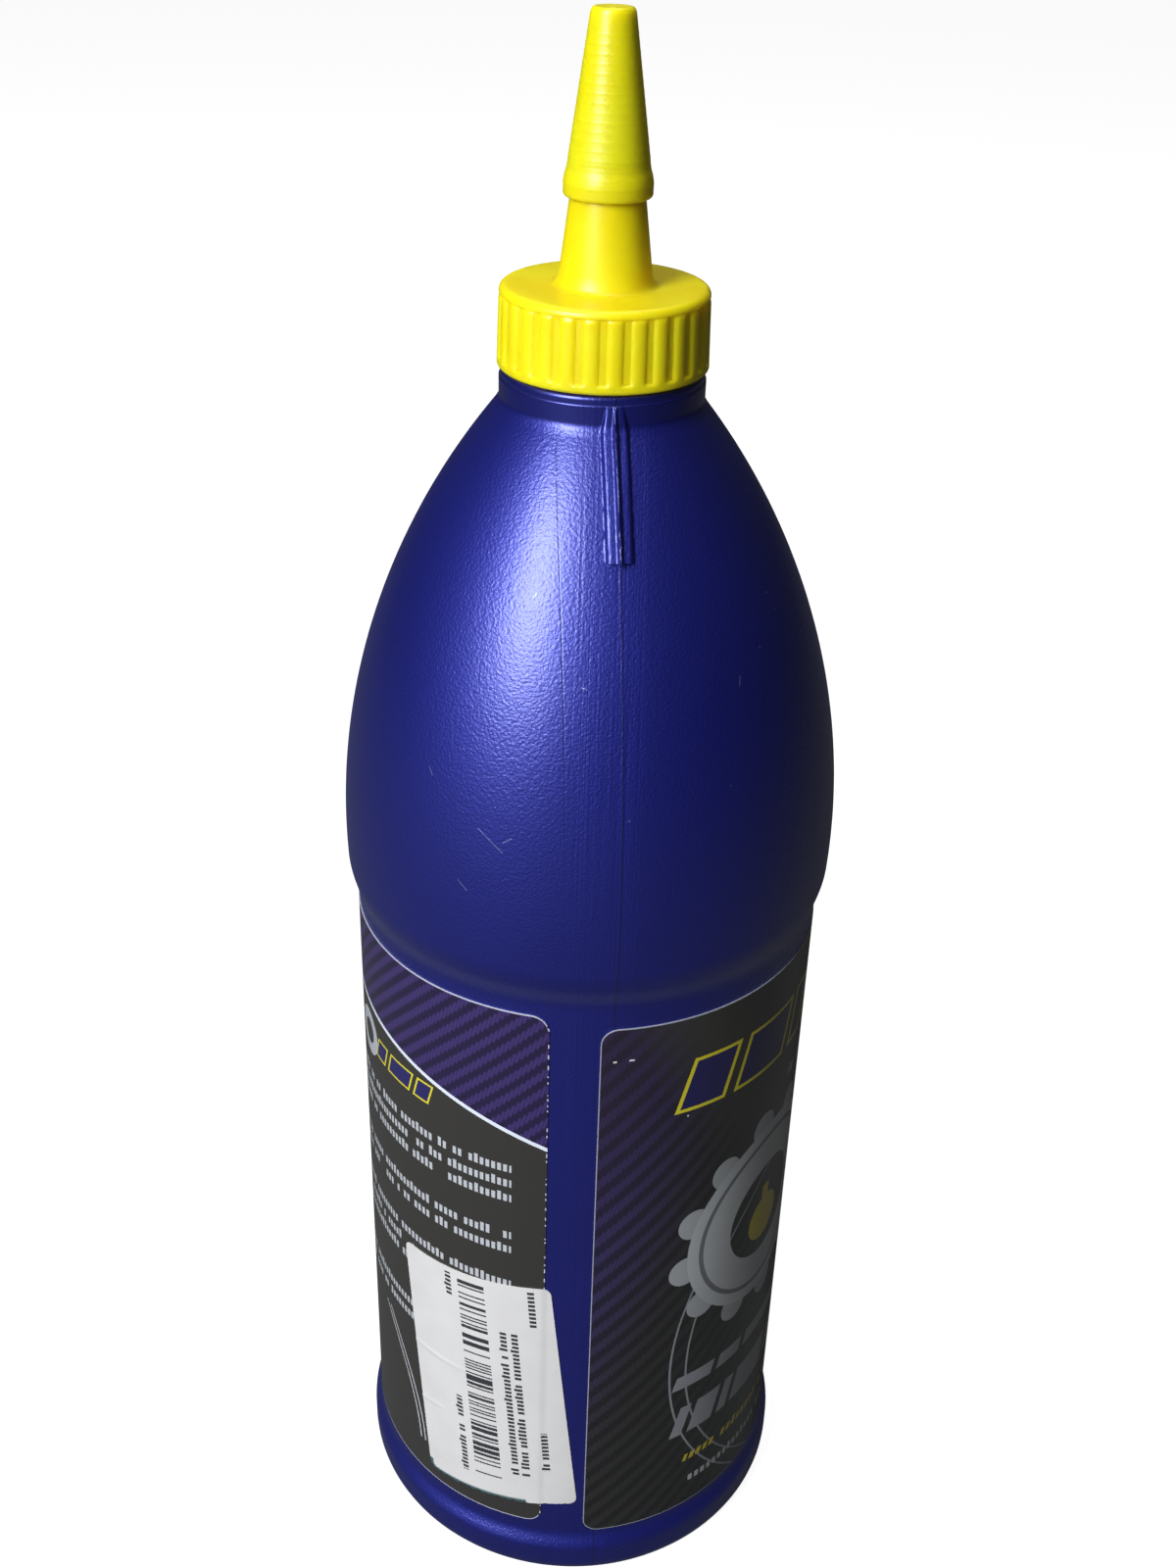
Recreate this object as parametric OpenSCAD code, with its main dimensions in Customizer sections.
// A quart bottle of gear oil: a blow-moulded round bottle with a bullet shoulder, two wrap
// labels and a barcode sticker, closed by a screw-on spout cap whose nozzle has its own tip cap.
// Units are millimetres. The bottle stands on z = 0 with its axis on Z, and azimuth 0 faces -Y.

/* [Bottle body] */
// Diameter of the straight panel that carries the labels
panel_d = 81; // [70:0.5:95]
// Diameter of the widest ring, where the shoulder starts
bulge_d = 84.4; // [82:0.2:98]
// Diameter of the base band
base_d = 84; // [82:0.5:98]
// Radius of the heel, where the wall turns under
heel_r = 4.5; // [2:0.5:8]
// Height of the straight base band
base_band_h = 7.7; // [6:0.1:11]
// Height of the flare from the base band in to the panel
base_blend_h = 4; // [2:0.5:8]
// Outer diameter of the recess under the base, inside the standing ring
recess_d = 62; // [40:1:66]
// Depth of that recess at its middle
recess_h = 4; // [1.5:0.5:9]
// Height of the step from the panel out to the widest ring
step_h = 8.5; // [4:0.5:14]
// Height from the top of the step to the middle of the widest ring
crown_h = 5; // [1:0.5:10]
// Radius of the long arc that makes the bullet shoulder
shoulder_arc_r = 117.5; // [100:0.5:150]
// Wall thickness of the bottle
wall = 1; // [0.6:0.1:2]

/* [Parting fin on the shoulder] */
// Azimuth of the mould's parting plane
parting_az = 7.2; // [-20:0.1:20]
// How far each fin stands proud of the shoulder
fin_h = 1.4; // [0.6:0.1:2.4]
// Width of each fin at its foot
fin_w = 4; // [2:0.1:6]
// Width of the flat along each fin's crest
fin_crest_w = 0.8; // [0.3:0.1:1.5]
// Height of each fin, measured down from the top of the neck band
fin_drop = 20.9; // [8:0.1:40]

/* [Neck] */
// Diameter of the smooth band under the collar
band_d = 31.8; // [30:0.2:36]
// Length of that band above the shoulder
band_h = 4.5; // [2.6:0.1:8]
// Radius of the fillet between the band and the shoulder
band_fillet_r = 1; // [0.5:0.1:2]
// Diameter of the neck under the thread
neck_d = 25; // [24:0.1:26]
// Diameter over the neck's thread
thread_d = 27.4; // [26.6:0.1:27.6]
// Diameter of the bore
bore_d = 21.6; // [16:0.1:22.4]
// Height of the threaded finish above the band
finish_h = 9.9; // [9.6:0.1:14]
// Length of the bore's straight wall
bore_h = 11.2; // [8:0.1:15]
// Advance of the thread in one turn
pitch = 4.23; // [3.8:0.01:4.5]
// Turns of thread on the neck
neck_turns = 1.25; // [1:0.05:1.35]
// Width of the neck's thread at its foot
thread_w = 2.4; // [1.8:0.1:2.6]
// Width of the neck's thread along its crest
thread_crest_w = 1.2; // [0.6:0.1:1.5]
// Distance from the lip down to the middle of the thread's upper end
thread_start = 1.9; // [1.6:0.1:2.2]

/* [Spout cap collar] */
// Outer diameter of the collar's lower band
collar_d = 32.4; // [31.4:0.1:36]
// Draft of the collar's side
collar_draft = 1.5; // [0:0.1:3]
// Gap between the collar and the neck band
collar_gap = 0.3; // [0.2:0.1:1.5]
// Height of the smooth band under the ribs
collar_band_h = 1.3; // [0.6:0.1:3]
// Height of the smooth rim above the ribs
collar_rim_h = 1.3; // [0.8:0.1:3]
// Radius of the collar's upper edge
collar_edge_r = 1; // [0.3:0.1:1.2]
// Thickness of the collar's roof
roof_t = 1.5; // [1:0.1:3]
// Number of grip ribs
rib_count = 28; // [12:1:36]
// How far the ribs stand above the valleys
rib_h = 0.4; // [0.2:0.05:0.6]
// Width of each rib at its foot
rib_w = 2.1; // [1.2:0.1:2.4]
// Radial clearance around the neck's thread, and inside the cap's own thread
thread_gap = 0.3; // [0.2:0.05:0.4]
// Turns of thread in the cap
cap_turns = 1.15; // [0.9:0.05:1.2]
// Width of the cap's thread at its foot
cap_thread_w = 1.9; // [1.2:0.1:2]
// Width of the cap's thread along its crest
cap_thread_crest_w = 0.8; // [0.4:0.1:1]
// Gap between the thread flanks that meet when the cap is tight
flank_gap = 0.25; // [0.1:0.05:0.35]

/* [Spout] */
// Diameter of the spout just above its foot fillet
spout_foot_d = 14.4; // [12:0.1:18]
// Radius of the fillet at the spout's foot
spout_fillet_r = 1.1; // [0.4:0.1:2]
// Diameter of the spout where the tip cap's rim sits
spout_mid_d = 11.2; // [10:0.1:12.4]
// Length of the bare spout between the collar and the tip cap
spout_bare_h = 12.7; // [8:0.1:24]
// Length of the nozzle inside the tip cap
nozzle_h = 23.6; // [14:0.1:36]
// Diameter of the nozzle at its tip
nozzle_tip_d = 4.5; // [4.2:0.1:5]
// Diameter of the pouring hole
orifice_d = 2.6; // [2.4:0.1:3]
// Length of the pouring hole's straight wall
orifice_h = 3.6; // [3:0.1:8]
// Wall thickness at the spout's foot
spout_wall = 1.2; // [0.8:0.1:2]

/* [Tip cap] */
// Largest diameter, at the tip cap's rim
tip_rim_d = 13.2; // [12.8:0.1:15]
// Height of the straight rim
tip_rim_h = 1.9; // [1:0.1:4]
// Height of the flare above the rim
tip_flare_h = 3.2; // [1:0.1:6]
// Diameter where the flare meets the long taper
tip_taper_d = 12; // [11.8:0.1:12.6]
// Diameter of the flat top
tip_top_d = 6.3; // [5.8:0.1:7.5]
// Thickness of the tip cap's closed end
tip_roof_t = 1.5; // [1:0.1:3]
// Radius of the edge around the top
tip_edge_r = 0.5; // [0.2:0.1:0.8]
// Depth of the dish in the top face
tip_dish_h = 0.15; // [0.05:0.05:0.4]
// Gap between the tip cap and the nozzle
tip_gap = 0.25; // [0.15:0.05:0.3]
// Diameter of the plug that stops the pouring hole
plug_d = 2; // [1.4:0.1:2.1]
// Length of that plug below the nozzle's tip
plug_h = 2.4; // [1:0.1:2.6]
// Distance between the fine grip rings
ring_pitch = 1.24; // [0.9:0.01:2.5]
// Height of each grip ring
ring_h = 0.12; // [0.05:0.01:0.3]
// Width of each grip ring
ring_w = 0.4; // [0.2:0.05:0.6]
// Bare length between the last ring and the top
ring_bare_h = 2; // [1:0.1:8]

/* [Liner and foil] */
// Thickness of the foil seal on the bottle's lip
foil_t = 0.2; // [0.1:0.05:0.4]
// How far the foil stops inside the neck's outer wall
foil_inset = 0.1; // [0.1:0.05:0.8]
// Thickness of the liner ring in the collar's roof
liner_t = 0.8; // [0.5:0.1:1.5]
// Outer diameter of the liner ring
liner_d = 26.8; // [26:0.1:27.4]
// Diameter of the hole in the liner ring
liner_hole_d = 15; // [14:0.5:18]

/* [Labels] */
// Thickness of the label film
label_t = 0.15; // [0.1:0.01:0.3]
// Thickness of the glue under each label
glue_t = 0.02; // [0.01:0.01:0.05]
// Height of each label
label_h = 122.9; // [80:0.1:123]
// Height of the front label's lower edge above the top of the base flare
front_label_up = 0.5; // [0:0.1:2]
// Height of the back label's lower edge above the top of the base flare
back_label_up = 2.5; // [0:0.1:3]
// Room on the straight panel above the back label
label_room = 1.4; // [0.2:0.1:5]
// Angle that the front label covers
label_span = 170; // [90:1:220]
// Angle of the gap between the labels at the far side
far_gap_a = 8.3; // [2:0.1:20]
// Azimuth where the front label starts
front_label_az = 4.3; // [0:0.1:8]
// Azimuth where the back label ends
back_label_az = -7.4; // [-12:0.1:-4]
// Radius of the labels' corners
label_corner_r = 3; // [1:0.5:8]

/* [Barcode sticker] */
// Width of the sticker
sticker_w = 31.8; // [20:0.1:50]
// Height of the sticker
sticker_h = 57.2; // [30:0.1:80]
// Tilt of the sticker
sticker_tilt = 6; // [-15:0.5:15]
// Azimuth of the sticker's middle
sticker_az = -24; // [-60:0.5:0]
// Height of the sticker's middle
sticker_z = 47; // [45:0.5:90]
// Radius of the sticker's corners
sticker_corner_r = 2; // [0.5:0.5:5]
// Thickness of the sticker paper
sticker_t = 0.12; // [0.08:0.01:0.3]

/* [Oil] */
// Height of the oil's surface
oil_level = 196; // [120:0.5:205]

/* [Hidden] */
$fn = 96;

// Overlap that joins an added ridge to its wall, which is also the size of a small bevel
weld = 0.3;
// How far a cut reaches past the face that it opens
past = 1;
// Steps in a quarter of a round edge, in an eased blend and in the long shoulder arc
edge_steps = 5;
blend_steps = 8;
shoulder_steps = 22;
// How far a label corner's arc runs past the label's edges, so that it crosses them
corner_out = 0.05;
// Angle by which a fin's sweep passes both of its ends
fin_spare_a = 2;
// Angle between two sections of a thread
thread_step = 15;
// Angle over which a thread rises from its wall at each end
thread_ramp = 30;

// The back label covers what the front label and the two gaps leave
back_label_span = 360 - label_span - far_gap_a - (front_label_az - back_label_az);

panel_r = panel_d / 2;
bulge_r = bulge_d / 2;
base_r = base_d / 2;
band_r = band_d / 2;
bore_r = bore_d / 2;
neck_r = neck_d / 2;

// Heights up the bottle, with a straight panel as tall as the labels need
panel_z = base_band_h + base_blend_h;
panel_h = back_label_up + label_h + label_room;
step_z = panel_z + panel_h;
step_top_z = step_z + step_h;
crown_z = step_top_z + crown_h;
// Middle of the shoulder arc, and the angle where it meets the band's fillet
arc_x = bulge_r - shoulder_arc_r;
fillet_a = acos((band_r + band_fillet_r - arc_x) / (shoulder_arc_r + band_fillet_r));
band_z = crown_z + (shoulder_arc_r + band_fillet_r) * sin(fillet_a);
band_top_z = band_z + band_h;
lip_z = band_top_z + finish_h;
// Middle of the neck's thread at its lower end
neck_thread_z = lip_z - thread_start - pitch * neck_turns;

// Heights of the cap: it sits on the foil and its liner
foil_z = lip_z;
liner_z = foil_z + foil_t;
roof_z = liner_z + liner_t;
collar_top_z = roof_z + roof_t;
collar_z = band_top_z + collar_gap;
tip_z = collar_top_z + spout_bare_h;
nozzle_top_z = tip_z + nozzle_h;
tip_top_z = nozzle_top_z + tip_gap + tip_roof_t;

// Radii of the cap
collar_r = collar_d / 2;
cap_bore_r = thread_d / 2 + thread_gap;
cap_crest_r = neck_r + thread_gap;

function arc(x, z, r, a0, a1, n) = [
    for (i = [0 : n])
        let (a = a0 + (a1 - a0) * i / n)
        [x + r * cos(a), z + r * sin(a)]
];

// A smooth S from point p to point q
function ease(p, q, n) = [
    for (i = [0 : n])
        let (t = i / n, s = (1 - cos(180 * t)) / 2)
        [p[0] + (q[0] - p[0]) * s, p[1] + (q[1] - p[1]) * t]
];

function unit(v) = v / norm(v);
function left_of(v) = [-v[1], v[0]];
function normal_at(p, i) = left_of(unit(p[i + 1] - p[i]));

// The path p moved to its left by d, with mitred corners and no point left of the axis
function inset(p, d) = [
    for (i = [0 : len(p) - 1])
        let (
            last = len(p) - 2,
            n1 = normal_at(p, max(0, i - 1)),
            n2 = normal_at(p, min(last, i)),
            q = p[i] + (n1 + n2) * d / (1 + n1 * n2)
        )
        [i == 0 ? 0 : max(0, q[0]), q[1]]
];

function reverse(p) = [for (i = [len(p) - 1 : -1 : 0]) p[i]];
function without_first(p) = [for (i = [1 : len(p) - 1]) p[i]];

// The outside of the bottle from the middle of its base to the end of the shoulder
recess_path = [
    for (i = [0 : blend_steps])
        let (t = i / blend_steps)
        [recess_d / 2 * t, recess_h * (1 + cos(180 * t)) / 2]
];
heel_path = arc(base_r - heel_r, heel_r, heel_r, -90, 0, 2 * edge_steps);
flare_path = ease([base_r, base_band_h], [panel_r, panel_z], blend_steps);
step_r = arc_x + sqrt(pow(shoulder_arc_r, 2) - pow(crown_h, 2));
step_path = ease([panel_r, step_z], [step_r, step_top_z], blend_steps);
shoulder_path = arc(arc_x, crown_z, shoulder_arc_r, -asin(crown_h / shoulder_arc_r), fillet_a,
                    shoulder_steps);
body_path = concat(recess_path, heel_path, flare_path, step_path, without_first(shoulder_path));
band_path = concat(
    without_first(arc(band_r + band_fillet_r, band_z, band_fillet_r, 180 + fillet_a, 180,
                      edge_steps)),
    [[band_r, band_top_z - weld], [band_r - weld, band_top_z], [neck_r, band_top_z],
     [neck_r, lip_z - weld], [neck_r - weld, lip_z], [bore_r, lip_z], [bore_r, lip_z - bore_h]]
);

module turned(points) {
    rotate_extrude($fn = 180) polygon(points);
}

// Places a child drawn along +X at an azimuth of the bottle
module at_azimuth(az) {
    rotate([0, 0, az - 90]) children();
}

// A helical ridge on a wall of radius root_r, rising with the angle as a right-hand thread
module thread_ridge(root_r, crest_r, foot_w, crest_w, low_z, from_a, to_a) {
    side = sign(crest_r - root_r);
    depth = abs(crest_r - root_r);
    slope = (foot_w - crest_w) / depth;
    steps = ceil((to_a - from_a) / thread_step);
    points = [
        for (i = [0 : steps])
            let (
                a = from_a + (to_a - from_a) * i / steps,
                rise = min(1, 0.2 + min(a - from_a, to_a - a) / thread_ramp),
                z = low_z + pitch * (a - from_a) / 360,
                r_in = root_r - side * weld,
                r_out = root_r + side * depth * rise,
                half_in = (foot_w + slope * weld) / 2,
                half_out = (foot_w - slope * depth * rise) / 2
            )
            each [
                [r_in * cos(a), r_in * sin(a), z - half_in],
                [r_out * cos(a), r_out * sin(a), z - half_out],
                [r_out * cos(a), r_out * sin(a), z + half_out],
                [r_in * cos(a), r_in * sin(a), z + half_in]
            ]
    ];
    sides = [
        for (i = [0 : steps - 1], k = [0 : 3])
            let (p = 4 * i + k, q = 4 * i + (k + 1) % 4)
            each [[p, q, p + 4], [q, q + 4, p + 4]]
    ];
    ends = [[3, 2, 1, 0], [for (k = [0 : 3]) 4 * steps + k]];
    faces = concat(sides, ends);
    polyhedron(points = points, faces = side > 0 ? faces : [for (f = faces) reverse(f)]);
}

// The fin left by the mould on one side of the shoulder: a ridge that follows the shoulder's arc,
// cut off level at its lower end
module parting_fin() {
    low_z = band_top_z - fin_drop;
    low_a = asin((low_z - crown_z) / shoulder_arc_r) - fin_spare_a;
    // The section is drawn as distance from the arc's middle, and distance to the side
    flank = [
        for (p = ease([fin_h, fin_crest_w / 2], [0, fin_w / 2], edge_steps))
            [shoulder_arc_r + p[0], p[1]]
    ];
    foot_r = shoulder_arc_r - wall / 2;
    section = concat(flank, [[foot_r, fin_w / 2], [foot_r, -fin_w / 2]],
                     [for (p = reverse(flank)) [p[0], -p[1]]]);
    intersection() {
        translate([arc_x, 0, crown_z])
            rotate([90, 0, 0])
                rotate([0, 0, low_a])
                    rotate_extrude(angle = fillet_a - low_a + fin_spare_a, $fn = 360)
                        polygon(section);
        translate([0, -fin_w, low_z])
            cube([bulge_r, 2 * fin_w, band_top_z - weld - low_z]);
    }
}

module bottle() {
    color("#2b2f9c")
    union() {
        turned(concat(body_path, band_path, reverse(inset(body_path, wall))));
        for (side = [0, 180])
            at_azimuth(parting_az + side) parting_fin();
        thread_ridge(neck_r, thread_d / 2, thread_w, thread_crest_w, neck_thread_z,
                     0, 360 * neck_turns);
    }
}

// What is cut from one corner of a label, drawn for the corner at the end of its span and top
module label_corner() {
    middle = corner_out - label_corner_r;
    rotate([90, 0, 90])
        linear_extrude(2 * past)
            polygon(concat([[weld, middle], [weld, weld], [middle, weld]],
                           arc(middle, middle, label_corner_r, 90, 0, edge_steps)));
}

module wrap_label(start_az, span, low_z) {
    inner_r = panel_r + glue_t;
    mid_z = low_z + label_h / 2;
    difference() {
        at_azimuth(start_az)
            rotate_extrude(angle = span, $fn = 180)
                translate([inner_r, low_z]) square([label_t, label_h]);
        translate([0, 0, mid_z])
            at_azimuth(start_az + span / 2)
                for (flip_y = [0, 1], flip_z = [0, 1])
                    mirror([0, 0, flip_z])
                        mirror([0, flip_y, 0])
                            rotate([0, 0, span / 2])
                                translate([inner_r - past, 0, label_h / 2]) label_corner();
    }
}

module front_label() {
    color("#26242b") wrap_label(front_label_az, label_span, panel_z + front_label_up);
}

module back_label() {
    color("#2c2a33")
        wrap_label(back_label_az - back_label_span, back_label_span, panel_z + back_label_up);
}

// A rectangle with round corners, as one polygon
function round_box(w, h, r) = concat(
    arc(w / 2 - r, h / 2 - r, r, 0, 90, edge_steps),
    arc(r - w / 2, h / 2 - r, r, 90, 180, edge_steps),
    arc(r - w / 2, r - h / 2, r, 180, 270, edge_steps),
    arc(w / 2 - r, r - h / 2, r, 270, 360, edge_steps)
);

module barcode_sticker() {
    inner_r = panel_r + 2 * glue_t + label_t;
    color("#d9d8de")
    intersection() {
        difference() {
            cylinder(h = step_z, r = inner_r + sticker_t, $fn = 180);
            translate([0, 0, -past]) cylinder(h = step_z + 2 * past, r = inner_r, $fn = 180);
        }
        translate([0, 0, sticker_z])
            at_azimuth(sticker_az)
                rotate([90, 0, 90])
                    linear_extrude(inner_r + past)
                        rotate(sticker_tilt)
                            polygon(round_box(sticker_w, sticker_h, sticker_corner_r));
    }
}

module foil_seal() {
    color("#c9cbd0")
        translate([0, 0, foil_z]) cylinder(h = foil_t, r = neck_r - foil_inset - weld);
}

module gear_oil() {
    color("#b8741a")
    intersection() {
        turned(concat(inset(body_path, wall + glue_t), [[0, band_z]]));
        cylinder(h = oil_level, r = base_r);
    }
}

module cap_liner() {
    color("#eeece6")
    difference() {
        translate([0, 0, liner_z]) cylinder(h = liner_t, r = liner_d / 2);
        translate([0, 0, liner_z - past])
            cylinder(h = liner_t + 2 * past, r = liner_hole_d / 2);
    }
}

// The collar's side is a drafted cone
function collar_r_at(z) = collar_r - (z - collar_z) * tan(collar_draft);

collar_path = concat(
    [[0, collar_z]],
    arc(collar_r - weld, collar_z + weld, weld, -90, 0, edge_steps),
    [[collar_r_at(collar_z + collar_band_h), collar_z + collar_band_h],
     [collar_r_at(collar_z + collar_band_h) - rib_h, collar_z + collar_band_h + rib_h],
     [collar_r_at(collar_top_z - collar_rim_h) - rib_h, collar_top_z - collar_rim_h - rib_h],
     [collar_r_at(collar_top_z - collar_rim_h), collar_top_z - collar_rim_h]],
    arc(collar_r_at(collar_top_z) - collar_edge_r, collar_top_z - collar_edge_r, collar_edge_r,
        0, 90, edge_steps)
);

spout_slope = (spout_foot_d - spout_mid_d) / 2 / spout_bare_h;
spout_path = concat(
    arc(spout_foot_d / 2 + spout_fillet_r, collar_top_z + spout_fillet_r, spout_fillet_r,
        270, 180 + atan(spout_slope), edge_steps),
    [[spout_mid_d / 2, tip_z],
     [nozzle_tip_d / 2, nozzle_top_z - weld],
     [nozzle_tip_d / 2 - weld, nozzle_top_z],
     [0, nozzle_top_z]]
);

// The passage from the collar's roof up through the spout to the pouring hole
passage_r = spout_foot_d / 2 - spout_wall;
passage_path = [
    [0, roof_z - past], [passage_r, roof_z - past], [passage_r, collar_top_z],
    [orifice_d / 2, nozzle_top_z - orifice_h], [orifice_d / 2, nozzle_top_z + past],
    [0, nozzle_top_z + past]
];

module grip_rib() {
    curve_r = (pow(rib_w / 2, 2) + pow(rib_h, 2)) / (2 * rib_h);
    low_z = collar_z + collar_band_h / 2;
    top_z = collar_top_z - collar_rim_h / 2;
    translate([collar_r_at(low_z) - curve_r, 0, low_z])
        rotate([0, -collar_draft, 0])
            cylinder(h = top_z - low_z, r = curve_r, $fn = 48);
}

module spout_cap() {
    // The cap's thread lies under the neck's by half of both widths, taken halfway between the
    // two crests, and the gap
    depth = thread_d / 2 - neck_r;
    mid_share = (depth + thread_gap) / (2 * depth);
    neck_half = (thread_w - (thread_w - thread_crest_w) * mid_share) / 2;
    cap_half = (cap_thread_w - (cap_thread_w - cap_thread_crest_w) * mid_share) / 2;
    under = neck_half + cap_half + flank_gap;
    // The cap's thread starts at the angle where it is clear of the collar's lower face
    rise = collar_z + cap_thread_w / 2 + 2 * weld - (neck_thread_z - under);
    skip = ceil(rise / pitch * 360 / thread_step) * thread_step;
    color("#f7e01e")
    union() {
        difference() {
            union() {
                turned(concat(collar_path, spout_path));
                for (i = [0 : rib_count - 1])
                    rotate([0, 0, i * 360 / rib_count]) grip_rib();
            }
            translate([0, 0, collar_z - past])
                cylinder(h = roof_z - collar_z + past, r = cap_bore_r, $fn = 180);
            turned(passage_path);
        }
        thread_ridge(cap_bore_r, cap_crest_r, cap_thread_w, cap_thread_crest_w,
                     neck_thread_z - under + pitch * skip / 360, skip, skip + 360 * cap_turns);
    }
}

// The tip cap's outer radius: a straight rim, a flare and a long taper
rim_top_z = tip_z + tip_rim_h;
taper_z = rim_top_z + tip_flare_h;
tip_slope = (tip_taper_d - tip_top_d) / 2 / (tip_top_z - taper_z);
function tip_r(z) =
    z <= rim_top_z ? tip_rim_d / 2 :
    z >= taper_z ? tip_taper_d / 2 - (z - taper_z) * tip_slope :
    tip_taper_d / 2 + (tip_rim_d - tip_taper_d) / 4 * (1 + cos(180 * (z - rim_top_z) / tip_flare_h));

// One grip ring, as three points
function ring_points(z) = [
    [tip_r(z - ring_w / 2), z - ring_w / 2],
    [tip_r(z) + ring_h, z],
    [tip_r(z + ring_w / 2), z + ring_w / 2]
];
ring_count = floor((tip_top_z - ring_bare_h - rim_top_z) / ring_pitch);

tip_path = concat(
    [[0, tip_z]],
    arc(tip_rim_d / 2 - tip_edge_r, tip_z + tip_edge_r, tip_edge_r, -90, 0, edge_steps),
    [for (i = [0 : ring_count], p = ring_points(rim_top_z + i * ring_pitch)) p],
    arc(tip_top_d / 2 - tip_edge_r, tip_top_z - tip_edge_r, tip_edge_r, 0, 90, edge_steps),
    [[tip_top_d / 2 - 2 * tip_edge_r, tip_top_z - tip_dish_h], [0, tip_top_z - tip_dish_h]]
);

// The room inside the tip cap follows the nozzle with a gap
tip_room_path = [
    [0, tip_z - past],
    [spout_mid_d / 2 + tip_gap + past * spout_slope, tip_z - past],
    [spout_mid_d / 2 + tip_gap, tip_z],
    [nozzle_tip_d / 2 + tip_gap, nozzle_top_z - weld],
    [nozzle_tip_d / 2 + tip_gap - weld, nozzle_top_z + tip_gap],
    [0, nozzle_top_z + tip_gap]
];

module tip_cap() {
    color("#fbe521")
    union() {
        difference() {
            turned(tip_path);
            turned(tip_room_path);
        }
        translate([0, 0, nozzle_top_z - plug_h])
            cylinder(h = plug_h + tip_gap + tip_roof_t / 2, r = plug_d / 2, $fn = 48);
    }
}

bottle();
front_label();
back_label();
barcode_sticker();
foil_seal();
gear_oil();
cap_liner();
spout_cap();
tip_cap();
